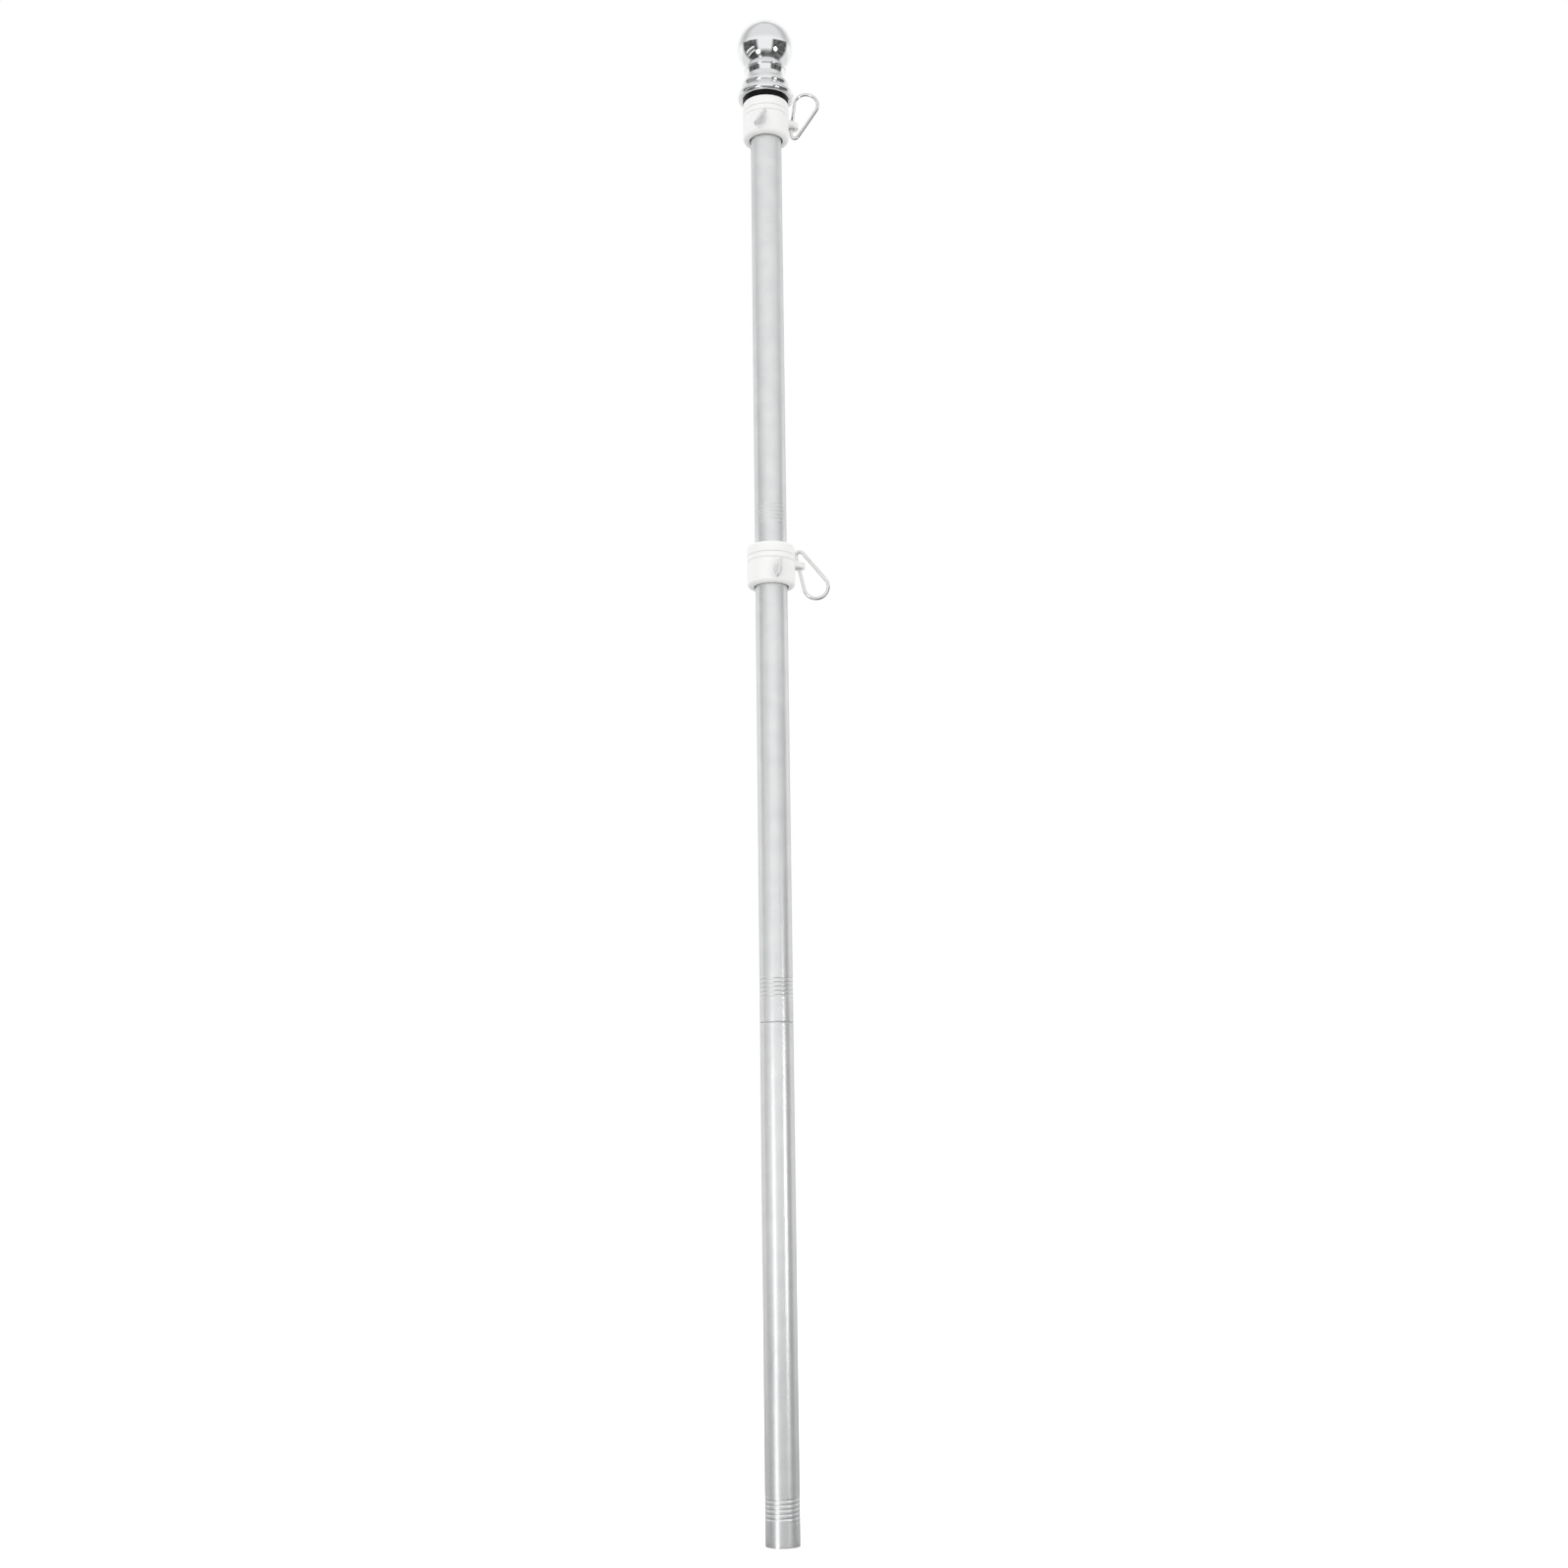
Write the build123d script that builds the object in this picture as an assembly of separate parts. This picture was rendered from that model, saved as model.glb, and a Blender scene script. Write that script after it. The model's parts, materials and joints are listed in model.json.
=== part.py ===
from build123d import *
import os
from math import asin, cos, radians, sin

# House flagpole in three screw-together tube sections, with a ball finial and two clamp-on swivel rings
# that carry snap clips for the flag. Millimetres. Origin at the centre of the bottom end face, +Z up.

# ---- driving dimensions -----------------------------------------------------------------------------

# tube sections
SECTION_LENGTH = 378.0          # visible length of each section
SECTIONS = ["tube_lower", "tube_middle", "tube_upper"]
TUBE_RADIUS = 12.7              # one inch tube
TUBE_WALL = 1.2
NECK_LENGTH = 34.0              # reduced end that screws into the next piece
NECK_CLEARANCE = 0.15           # radial gap between a neck and what it screws into
SWAGE_LENGTH = 3.0              # taper inside the tube where it is drawn down to the neck
NECK_CHAMFER = 0.5
RIM_CHAMFER = 0.3               # softened outer edge at each tube end

# rolled thread
THREAD_START = 19.3             # first turn above a section's lower end
THREAD_PITCH = 3.15
THREAD_TURNS = 5
THREAD_DEPTH = 0.25             # how far a turn stands out from the wall
THREAD_ROLL_RADIUS = 0.8        # section radius of a turn

# finial, heights above the underside of its skirt
SOCKET_SLEEVE_WALL = 1.25       # part of the socket that reaches down to the tube shoulder
SOCKET_SPIGOT_WALL = 1.6        # part of the socket inside the finial base
SOCKET_FLANGE_WIDTH = 5.65      # flange beyond the spigot
SOCKET_FLANGE = 3.1             # its height, the black band between the upper ring and the skirt
SOCKET_FIT = 0.1                # gap round and above the spigot
SOCKET_ABOVE_SHOULDER = 8.5     # flange underside above the top tube's shoulder
BASE_WALL = 1.25                # cup's foot beyond the bore for the spigot
CUP_FLARE = 2.7                 # cup's rim beyond its foot
CUP_CROWN = 0.2                 # how far the cup's side bulges out of a straight cone
BEAD_STEP = 5.5                 # bead beyond the cup's foot
SKIRT_STEP = 3.2                # skirt beyond the bead
SKIRT_TOP = 8.1
SKIRT_RIM_EDGE = 3.4            # rounding of the skirt's lower edge
SKIRT_SHOULDER_EDGE = 4.2       # rounding of the skirt's upper edge
BEAD_TOP = 17.0
BEAD_RIM_EDGE = 3.6
BEAD_SHOULDER_EDGE = 4.2
CUP_TOP = 25.6
GROOVE_HEIGHT = 0.9             # grooves between skirt, bead, cup and washer
RIM_GROOVE_DEPTH = 1.2          # groove between cup and washer
WASHER_STEP = 0.2               # washer beyond the cup's rim
WASHER_THICKNESS = 3.8
WASHER_EDGE = 1.1
STUD_RADIUS = 5.0               # stud on the base that holds washer and ball
STUD_ABOVE_WASHER = 8.0
STUD_CLEARANCE = 0.1
BALL_RADIUS = 23.5
BALL_WALL = 1.0
BALL_SEAT_RADIUS = 14.45         # flat at the ball's foot, where it sits on the washer

# swivel rings
RING_BORE_CLEARANCE = 1.05      # radial gap round the tube
SLEEVE_WALL = 2.45              # sleeve of the collar that the band turns on
BAND_WALL = 2.8                 # ring's outer surface beyond the sleeve
COLLAR_HEIGHT = 20.3
BAND_SLOT = 4.9                 # space for the band between collar and cap
CAP_HEIGHT = 8.1
SLEEVE_IN_CAP = 4.5
BAND_PLAY = 0.2                 # gap below and above the band
BAND_CLEARANCE = 0.1            # radial gap between band and sleeve
COLLAR_EDGE = 3.0               # rounding of the collar's lower outer edge
CAP_EDGE = 1.5                  # rounding of the cap's upper outer edge
RING_MOUTH_EDGE = 0.8           # rounding of the bore's two mouths
BAND_EDGE = 0.35                # rounding of the edges beside the band
EAR_REACH = 8.5                 # hole centre beyond the ring's outer surface
EAR_WALL = 3.0                  # plastic round the hole
EAR_HOLE_CLEARANCE = 1.0        # radial gap round the clip's wire
EAR_HOLE_EDGE = 0.5
EAR_ANGLE = 37.5                # round the pole from +X towards +Y
LOWER_RING_ABOVE_JOINT = 0.4    # cap's top above the joint of middle and upper tube
UPPER_RING_GAP = 0.3            # between the cap's top and the black flange

# thumb screws
SCREW_RADIUS = 2.0
SCREW_HOLE_CLEARANCE = 0.05
SCREW_TIP_GAP = 0.35            # between screw tip and tube, so that the tip passes the thread turns
SHOULDER_RADIUS = 3.6
SHOULDER_THICKNESS = 1.6
SHOULDER_EDGE = 0.5
SPADE_WIDTH = 16.0
SPADE_REACH = 7.3               # outer edge of the spade beyond the collar
SPADE_THICKNESS = 2.0
SPADE_CORNER = 2.4
SCREW_ANGLE = {"lower": -74.0, "upper": -101.0}     # round the pole from +X
SPADE_LEAN = {"lower": 12.0, "upper": 37.0}         # from upright, about the screw's own axis

# snap clips, distances along the clip from the outside of its narrow end
WIRE_RADIUS = 1.5
CLIP_LENGTH = 45.0
NARROW_RADIUS = 3.2             # of the wire's centre line, as is the next
WIDE_RADIUS = 9.8
GATE_HINGE = 12.0
GATE_BEFORE_BEND = 1.2          # gate's free end before the centre of the wide end
NOSE_SLANT = 40.0               # lean of the two faces where gate and nose meet
NOSE_GAP = 0.4
TANG_THICKNESS = 1.1
TANG_CLEARANCE = 0.15           # each side of the tang in the gate's fork
PIN_RADIUS = 0.6
PIN_CLEARANCE = 0.04
KNUCKLE_GAP = 0.35              # round knuckles to what they turn past
CLIP_LEAN = {"lower": 26.0, "upper": 20.0}          # from straight down, from straight up
EAR_FROM_HINGE = {"lower": 0.0, "upper": -1.2}      # where the ear's mid plane crosses the clip

# ---- sizes that follow ------------------------------------------------------------------------------

POLE_SHOULDER = SECTION_LENGTH * len(SECTIONS)
TUBE_BORE_RADIUS = TUBE_RADIUS - TUBE_WALL
NECK_RADIUS = TUBE_BORE_RADIUS - NECK_CLEARANCE
NECK_BORE_RADIUS = NECK_RADIUS - TUBE_WALL
SOCKET_BORE_RADIUS = NECK_RADIUS + THREAD_DEPTH + NECK_CLEARANCE
SOCKET_SLEEVE_RADIUS = SOCKET_BORE_RADIUS + SOCKET_SLEEVE_WALL
SOCKET_SPIGOT_RADIUS = SOCKET_BORE_RADIUS + SOCKET_SPIGOT_WALL
SOCKET_FLANGE_RADIUS = SOCKET_SPIGOT_RADIUS + SOCKET_FLANGE_WIDTH
BASE_BORE_RADIUS = SOCKET_SPIGOT_RADIUS + SOCKET_FIT
CUP_FOOT_RADIUS = BASE_BORE_RADIUS + BASE_WALL
CUP_RIM_RADIUS = CUP_FOOT_RADIUS + CUP_FLARE
BEAD_RADIUS = CUP_FOOT_RADIUS + BEAD_STEP
SKIRT_RADIUS = BEAD_RADIUS + SKIRT_STEP
WASHER_RADIUS = CUP_RIM_RADIUS + WASHER_STEP
FLANGE_BOTTOM = POLE_SHOULDER + SOCKET_ABOVE_SHOULDER
SKIRT_BOTTOM = FLANGE_BOTTOM + SOCKET_FLANGE
SPIGOT_TOP = POLE_SHOULDER + NECK_LENGTH
WASHER_BOTTOM = SKIRT_BOTTOM + CUP_TOP + GROOVE_HEIGHT
WASHER_TOP = WASHER_BOTTOM + WASHER_THICKNESS
RING_BORE_RADIUS = TUBE_RADIUS + RING_BORE_CLEARANCE
SLEEVE_RADIUS = RING_BORE_RADIUS + SLEEVE_WALL
RING_RADIUS = SLEEVE_RADIUS + BAND_WALL
RING_HEIGHT = COLLAR_HEIGHT + BAND_SLOT + CAP_HEIGHT
RING_BOTTOM = {
    "lower": 2 * SECTION_LENGTH + LOWER_RING_ABOVE_JOINT - RING_HEIGHT,
    "upper": FLANGE_BOTTOM - UPPER_RING_GAP - RING_HEIGHT,
}
BAND_HEIGHT = BAND_SLOT - 2 * BAND_PLAY
EAR_MIDDLE = COLLAR_HEIGHT + BAND_SLOT / 2
EAR_DISTANCE = RING_RADIUS + EAR_REACH
EAR_HOLE_RADIUS = WIRE_RADIUS + EAR_HOLE_CLEARANCE
EAR_END_RADIUS = EAR_HOLE_RADIUS + EAR_WALL
NARROW_CENTRE = NARROW_RADIUS + WIRE_RADIUS
WIDE_CENTRE = CLIP_LENGTH - WIRE_RADIUS - WIDE_RADIUS
GATE_END = WIDE_CENTRE - GATE_BEFORE_BEND
TAPER = asin((WIDE_RADIUS - NARROW_RADIUS) / (WIDE_CENTRE - NARROW_CENTRE))
GATE_SIDE = 1                   # which way across the flat clip the gate and the spine lie
SPINE_SIDE = -1
SIDE_IN_EAR = {"lower": SPINE_SIDE, "upper": GATE_SIDE}
UPRIGHT = (Align.CENTER, Align.CENTER, Align.MIN)


def turned(points):
    """Solid of revolution about Z through (radius, height) points."""
    outline = Polyline(*[(radius, 0, height) for radius, height in points], close=True)
    return revolve(make_face(outline), Axis.Z)


def rounded(solid, edges_at, radius):
    """The solid with its circular edges of the given (radius, height) pairs rounded."""
    chosen = []
    for edge_radius, height in edges_at:
        for edge in solid.edges().filter_by(GeomType.CIRCLE):
            same_height = abs(edge.arc_center.Z - height) < 0.01
            if same_height and abs(edge.radius - edge_radius) < 0.01:
                chosen.append(edge)
    return fillet(chosen, radius)


def drum(radius, bottom, top, lower_edge, upper_edge):
    """A turned disc about Z whose outer edges are rounded."""
    disc = Pos(0, 0, bottom) * Cylinder(radius, top - bottom, align=UPRIGHT)
    disc = rounded(disc, [(radius, bottom)], lower_edge)
    return rounded(disc, [(radius, top)], upper_edge)


def bored(solid, radius, bottom, top):
    """The solid with a round hole about Z from bottom to top."""
    hole = Cylinder(radius, top - bottom, align=UPRIGHT)
    return solid - Pos(0, 0, bottom) * hole


# ---- tube sections ----------------------------------------------------------------------------------

def thread_turns(wall_radius, first_height):
    """Round beads standing out from a wall, one for each thread turn."""
    bead = Torus(wall_radius + THREAD_DEPTH - THREAD_ROLL_RADIUS, THREAD_ROLL_RADIUS)
    return [Pos(0, 0, first_height + turn * THREAD_PITCH) * bead for turn in range(THREAD_TURNS)]


def tube_section(bottom):
    """Plain tube with a rolled thread near its lower end and a reduced threaded neck on top."""
    top = bottom + SECTION_LENGTH
    neck_top = top + NECK_LENGTH
    tube = turned([
        (TUBE_BORE_RADIUS, bottom),
        (TUBE_RADIUS - RIM_CHAMFER, bottom),
        (TUBE_RADIUS, bottom + RIM_CHAMFER),
        (TUBE_RADIUS, top - RIM_CHAMFER),
        (TUBE_RADIUS - RIM_CHAMFER, top),
        (NECK_RADIUS, top),
        (NECK_RADIUS, neck_top - NECK_CHAMFER),
        (NECK_RADIUS - NECK_CHAMFER, neck_top),
        (NECK_BORE_RADIUS, neck_top),
        (NECK_BORE_RADIUS, top),
        (TUBE_BORE_RADIUS, top - SWAGE_LENGTH),
    ])
    tube += thread_turns(TUBE_RADIUS, bottom + THREAD_START)
    tube -= thread_turns(TUBE_BORE_RADIUS, bottom + THREAD_START)
    tube += thread_turns(NECK_RADIUS, top + THREAD_START)
    return tube


# ---- finial -----------------------------------------------------------------------------------------

def finial_socket():
    """Black socket: sleeve down to the tube shoulder, flange that shows, spigot inside the finial base."""
    return turned([
        (SOCKET_BORE_RADIUS, POLE_SHOULDER),
        (SOCKET_SLEEVE_RADIUS, POLE_SHOULDER),
        (SOCKET_SLEEVE_RADIUS, FLANGE_BOTTOM),
        (SOCKET_FLANGE_RADIUS, FLANGE_BOTTOM),
        (SOCKET_FLANGE_RADIUS, SKIRT_BOTTOM),
        (SOCKET_SPIGOT_RADIUS, SKIRT_BOTTOM),
        (SOCKET_SPIGOT_RADIUS, SPIGOT_TOP),
        (SOCKET_BORE_RADIUS, SPIGOT_TOP),
    ])


def finial_cup(bottom, top):
    """Flared cup under the ball, its side slightly crowned."""
    foot = Vector(CUP_FOOT_RADIUS, 0, bottom)
    rim = Vector(CUP_RIM_RADIUS, 0, top)
    slope = (rim - foot).normalized()
    outwards = Vector(slope.Z, 0, -slope.X)
    side = ThreePointArc(foot, (foot + rim) / 2 + outwards * CUP_CROWN, rim)
    rest = Polyline(rim, (0, 0, top), (0, 0, bottom), foot)
    return revolve(make_face([side, rest]), Axis.Z)


def finial_base():
    """Turned base: skirt, bead and flared cup with grooves between them, blind bore below, stud on top."""
    bead_bottom = SKIRT_TOP + GROOVE_HEIGHT
    cup_bottom = BEAD_TOP + GROOVE_HEIGHT
    tiers = [
        (SKIRT_RADIUS, 0, SKIRT_TOP, SKIRT_RIM_EDGE, SKIRT_SHOULDER_EDGE),
        (BEAD_RADIUS, bead_bottom, BEAD_TOP, BEAD_RIM_EDGE, BEAD_SHOULDER_EDGE),
    ]
    base = finial_cup(SKIRT_BOTTOM + cup_bottom, SKIRT_BOTTOM + CUP_TOP)
    for radius, bottom, top, lower_edge, upper_edge in tiers:
        base += drum(radius, SKIRT_BOTTOM + bottom, SKIRT_BOTTOM + top, lower_edge, upper_edge)
    cores = [
        (CUP_FOOT_RADIUS, cup_bottom),
        (CUP_RIM_RADIUS - RIM_GROOVE_DEPTH, CUP_TOP + GROOVE_HEIGHT),
        (STUD_RADIUS, WASHER_TOP + STUD_ABOVE_WASHER - SKIRT_BOTTOM),
    ]
    bottom = 0
    for radius, top in cores:
        base += Pos(0, 0, SKIRT_BOTTOM + bottom) * Cylinder(radius, top - bottom, align=UPRIGHT)
        bottom = top
    return bored(base, BASE_BORE_RADIUS, SKIRT_BOTTOM, SPIGOT_TOP + SOCKET_FIT)


def finial_washer():
    """Plated washer between base and ball."""
    washer = drum(WASHER_RADIUS, WASHER_BOTTOM, WASHER_TOP, WASHER_EDGE, WASHER_EDGE)
    return bored(washer, STUD_RADIUS + STUD_CLEARANCE, WASHER_BOTTOM, WASHER_TOP)


def finial_ball():
    """Hollow ball with a flat foot and a hole for the stud."""
    centre = WASHER_TOP + (BALL_RADIUS**2 - BALL_SEAT_RADIUS**2) ** 0.5
    above = Pos(0, 0, WASHER_TOP) * Cylinder(2 * BALL_RADIUS, 2 * BALL_RADIUS, align=UPRIGHT)
    outside = (Pos(0, 0, centre) * Sphere(BALL_RADIUS)) & above
    inside = (Pos(0, 0, centre) * Sphere(BALL_RADIUS - BALL_WALL)) & (Pos(0, 0, BALL_WALL) * above)
    return bored(outside - inside, STUD_RADIUS + STUD_CLEARANCE, WASHER_TOP, WASHER_TOP + 2 * BALL_WALL)


# ---- swivel rings, heights above the ring's own bottom -----------------------------------------------

def lying_radially(angle):
    """Location at the collar's mid height that lays an upright piece out from the pole's axis."""
    return Pos(0, 0, COLLAR_HEIGHT / 2) * Rot(0, 0, angle) * Rot(0, 90, 0)


def ring_collar(screw_angle):
    """Clamped collar with the sleeve that the band turns on and the thumb screw's hole."""
    collar = drum(RING_RADIUS, 0, COLLAR_HEIGHT, COLLAR_EDGE, BAND_EDGE)
    sleeve_top = COLLAR_HEIGHT + BAND_SLOT + SLEEVE_IN_CAP
    collar += Cylinder(SLEEVE_RADIUS, sleeve_top, align=UPRIGHT)
    collar = bored(collar, RING_BORE_RADIUS, 0, sleeve_top)
    collar = rounded(collar, [(RING_BORE_RADIUS, 0)], RING_MOUTH_EDGE)
    hole = Cylinder(SCREW_RADIUS + SCREW_HOLE_CLEARANCE, RING_RADIUS, align=UPRIGHT)
    return collar - lying_radially(screw_angle) * hole


def ring_cap():
    """Cap pressed on the collar's sleeve above the band."""
    bottom = COLLAR_HEIGHT + BAND_SLOT
    cap = drum(RING_RADIUS, bottom, RING_HEIGHT, BAND_EDGE, CAP_EDGE)
    cap = bored(cap, SLEEVE_RADIUS, bottom, bottom + SLEEVE_IN_CAP)
    cap = bored(cap, RING_BORE_RADIUS, bottom, RING_HEIGHT)
    return rounded(cap, [(RING_BORE_RADIUS, RING_HEIGHT)], RING_MOUTH_EDGE)


def ring_band():
    """Turning band with an ear for the clip."""
    bottom = COLLAR_HEIGHT + BAND_PLAY
    top = bottom + BAND_HEIGHT
    outline = Circle(RING_RADIUS)
    outline += Pos(EAR_DISTANCE / 2, 0) * Rectangle(EAR_DISTANCE, 2 * EAR_END_RADIUS)
    outline += Pos(EAR_DISTANCE, 0) * Circle(EAR_END_RADIUS)
    band = Pos(0, 0, bottom) * extrude(outline, BAND_HEIGHT)
    faces = band.faces().sort_by(Axis.Z)
    band = fillet(faces[0].edges() + faces[-1].edges(), BAND_EDGE)
    band = bored(band, SLEEVE_RADIUS + BAND_CLEARANCE, bottom, top)
    band -= Pos(EAR_DISTANCE, 0, bottom) * Cylinder(EAR_HOLE_RADIUS, BAND_HEIGHT, align=UPRIGHT)
    band = rounded(band, [(EAR_HOLE_RADIUS, bottom), (EAR_HOLE_RADIUS, top)], EAR_HOLE_EDGE)
    return Rot(0, 0, EAR_ANGLE) * band


def thumb_screw(angle, lean):
    """Screw with a shoulder and a flat spade, lying radially at mid height of the collar."""
    start = TUBE_RADIUS + SCREW_TIP_GAP
    spade_start = RING_RADIUS + SHOULDER_THICKNESS / 2
    spade_height = RING_RADIUS + SPADE_REACH - spade_start
    shank = Pos(0, 0, start) * Cylinder(SCREW_RADIUS, RING_RADIUS - start, align=UPRIGHT)
    shoulder = drum(
        SHOULDER_RADIUS, RING_RADIUS, RING_RADIUS + SHOULDER_THICKNESS, SHOULDER_EDGE, SHOULDER_EDGE
    )
    outline = RectangleRounded(SPADE_WIDTH, spade_height, SPADE_CORNER)
    outline = Plane.XZ * Pos(0, spade_start + spade_height / 2) * outline
    spade = extrude(outline, SPADE_THICKNESS / 2, both=True)
    spade = fillet(spade.faces().filter_by(Axis.Y).edges(), SPADE_THICKNESS / 4)
    screw = Rot(0, 0, -lean) * (shank + shoulder + spade)
    return lying_radially(angle) * screw


# ---- snap clip, drawn flat: X across towards the gate, Y along from the narrow end --------------------

def side_point(side, along):
    """Point on the straight stretch of wire on one side, at a distance along the clip."""
    across = (NARROW_RADIUS + (along - NARROW_CENTRE) * sin(TAPER)) / cos(TAPER)
    return Vector(side * across, along)


def arc_point(centre, radius, side):
    """Point where a side's straight stretch meets the round end about a centre on the clip's axis."""
    return Vector(side * radius * cos(TAPER), centre - radius * sin(TAPER))


def on_gate_line(along):
    """Plane at a point of the gate's line: Z along the gate towards its free end, X out of the clip."""
    out = (cos(TAPER), -sin(TAPER), 0)
    return Plane(origin=side_point(GATE_SIDE, along), x_dir=out, z_dir=(sin(TAPER), cos(TAPER), 0))


def knuckle(thickness):
    """Flat disc about the gate's hinge, as wide as the wire."""
    return Plane(origin=side_point(GATE_SIDE, GATE_HINGE)) * Cylinder(WIRE_RADIUS, thickness)


def pin_cylinder(radius):
    """Cylinder about the gate's hinge, as long as the wire is thick."""
    return Plane(origin=side_point(GATE_SIDE, GATE_HINGE)) * Cylinder(radius, 2 * WIRE_RADIUS)


def slanted_block(along, align_z):
    """Block on one side of the slanted meeting face of gate and nose, wide enough to cut the wire."""
    size = 6 * WIRE_RADIUS
    block = Box(size, size, size, align=(Align.CENTER, Align.CENTER, align_z))
    return on_gate_line(along) * Rot(0, NOSE_SLANT, 0) * block


def clip_body():
    """Bent wire from the hinge tang round the narrow end, up the spine and round to the nose."""
    wire_start = side_point(GATE_SIDE, GATE_HINGE - WIRE_RADIUS - KNUCKLE_GAP)
    narrow_in = arc_point(NARROW_CENTRE, NARROW_RADIUS, GATE_SIDE)
    narrow_out = arc_point(NARROW_CENTRE, NARROW_RADIUS, SPINE_SIDE)
    wide_in = arc_point(WIDE_CENTRE, WIDE_RADIUS, SPINE_SIDE)
    wide_out = arc_point(WIDE_CENTRE, WIDE_RADIUS, GATE_SIDE)
    nose_start = side_point(GATE_SIDE, GATE_END - WIRE_RADIUS)
    route = Wire([
        Line(wire_start, narrow_in),
        ThreePointArc(narrow_in, (0, NARROW_CENTRE - NARROW_RADIUS), narrow_out),
        Line(narrow_out, wide_in),
        ThreePointArc(wide_in, (0, WIDE_CENTRE + WIDE_RADIUS), wide_out),
        Line(wide_out, nose_start),
    ])
    section = Plane(origin=wire_start, z_dir=route % 0) * Circle(WIRE_RADIUS)
    body = sweep(section, route)
    body -= slanted_block(GATE_END + NOSE_GAP, Align.MAX)
    below_hinge = (Align.CENTER, Align.CENTER, Align.MAX)
    tang = Box(2 * WIRE_RADIUS, TANG_THICKNESS, WIRE_RADIUS + 2 * KNUCKLE_GAP, align=below_hinge)
    tang = on_gate_line(GATE_HINGE) * tang
    return body + tang + knuckle(TANG_THICKNESS) - pin_cylinder(PIN_RADIUS)


def clip_gate():
    """Straight round gate: forked round the tang at its hinge, slanted at its free end."""
    length = (GATE_END - GATE_HINGE) / cos(TAPER)
    bar = on_gate_line(GATE_HINGE) * Cylinder(WIRE_RADIUS, length + 2 * WIRE_RADIUS, align=UPRIGHT)
    bar -= slanted_block(GATE_END, Align.MIN)
    rounded_end = on_gate_line(GATE_HINGE) * Cylinder(WIRE_RADIUS, 2 * WIRE_RADIUS)
    bar += rounded_end & knuckle(2 * WIRE_RADIUS)
    slot_width = TANG_THICKNESS + 2 * TANG_CLEARANCE
    slot = Box(3 * WIRE_RADIUS, slot_width, 2 * (WIRE_RADIUS + KNUCKLE_GAP))
    slot = on_gate_line(GATE_HINGE) * slot
    return bar - slot - pin_cylinder(PIN_RADIUS + PIN_CLEARANCE)


def clip_pin():
    """Pin through tang and fork, flush with the gate's sides."""
    return pin_cylinder(PIN_RADIUS)


def clip_plane(which):
    """Plane that carries the flat clip to its place in the ear, upright and across the front."""
    lean = radians(CLIP_LEAN[which])
    ear = Vector(
        EAR_DISTANCE * cos(radians(EAR_ANGLE)),
        EAR_DISTANCE * sin(radians(EAR_ANGLE)),
        RING_BOTTOM[which] + EAR_MIDDLE,
    )
    if which == "lower":
        towards_gate = Vector(cos(lean), 0, sin(lean))
        along = Vector(sin(lean), 0, -cos(lean))
    else:
        towards_gate = Vector(-cos(lean), 0, sin(lean))
        along = Vector(sin(lean), 0, cos(lean))
    crossing = side_point(SIDE_IN_EAR[which], GATE_HINGE + EAR_FROM_HINGE[which])
    origin = ear - towards_gate * crossing.X - along * crossing.Y
    return Plane(origin=origin, x_dir=towards_gate, z_dir=towards_gate.cross(along))


# ---- assembly ---------------------------------------------------------------------------------------

pieces = {}
for index, name in enumerate(SECTIONS):
    pieces[name] = tube_section(index * SECTION_LENGTH)
pieces["finial_socket"] = finial_socket()
pieces["finial_base"] = finial_base()
pieces["finial_washer"] = finial_washer()
pieces["finial_ball"] = finial_ball()

for which in ("lower", "upper"):
    ring = Pos(0, 0, RING_BOTTOM[which])
    clip = clip_plane(which)
    pieces[which + "_ring_collar"] = ring * ring_collar(SCREW_ANGLE[which])
    pieces[which + "_ring_cap"] = ring * ring_cap()
    pieces[which + "_ring_band"] = ring * ring_band()
    pieces[which + "_thumb_screw"] = ring * thumb_screw(SCREW_ANGLE[which], SPADE_LEAN[which])
    pieces[which + "_clip_body"] = clip * clip_body()
    pieces[which + "_clip_gate"] = clip * clip_gate()
    pieces[which + "_clip_pin"] = clip * clip_pin()

os.makedirs("parts", exist_ok=True)
for name, piece in pieces.items():
    export_step(piece, f"parts/{name}.step")
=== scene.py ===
# %% [markdown]
# # A house flagpole in three sections
# The real object is a slim one inch pole for a wall bracket: three drawn aluminium tubes that screw into each
# other, a chromed ball on top, and two white plastic rings that carry snap clips for the flag.
# The construction model brings every piece at its true size. This lesson gives each one its finish, and makes
# again the pieces whose real surface is finer than the construction model needs: the tubes with their rolled
# threads, the stamped thumb screws and the rivets of the clips.

# %% Load the construction model
import json
from math import ceil, cos, degrees, pi, radians, sin, tan

import bmesh
import bpy
from mathutils import Matrix, Vector


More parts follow.
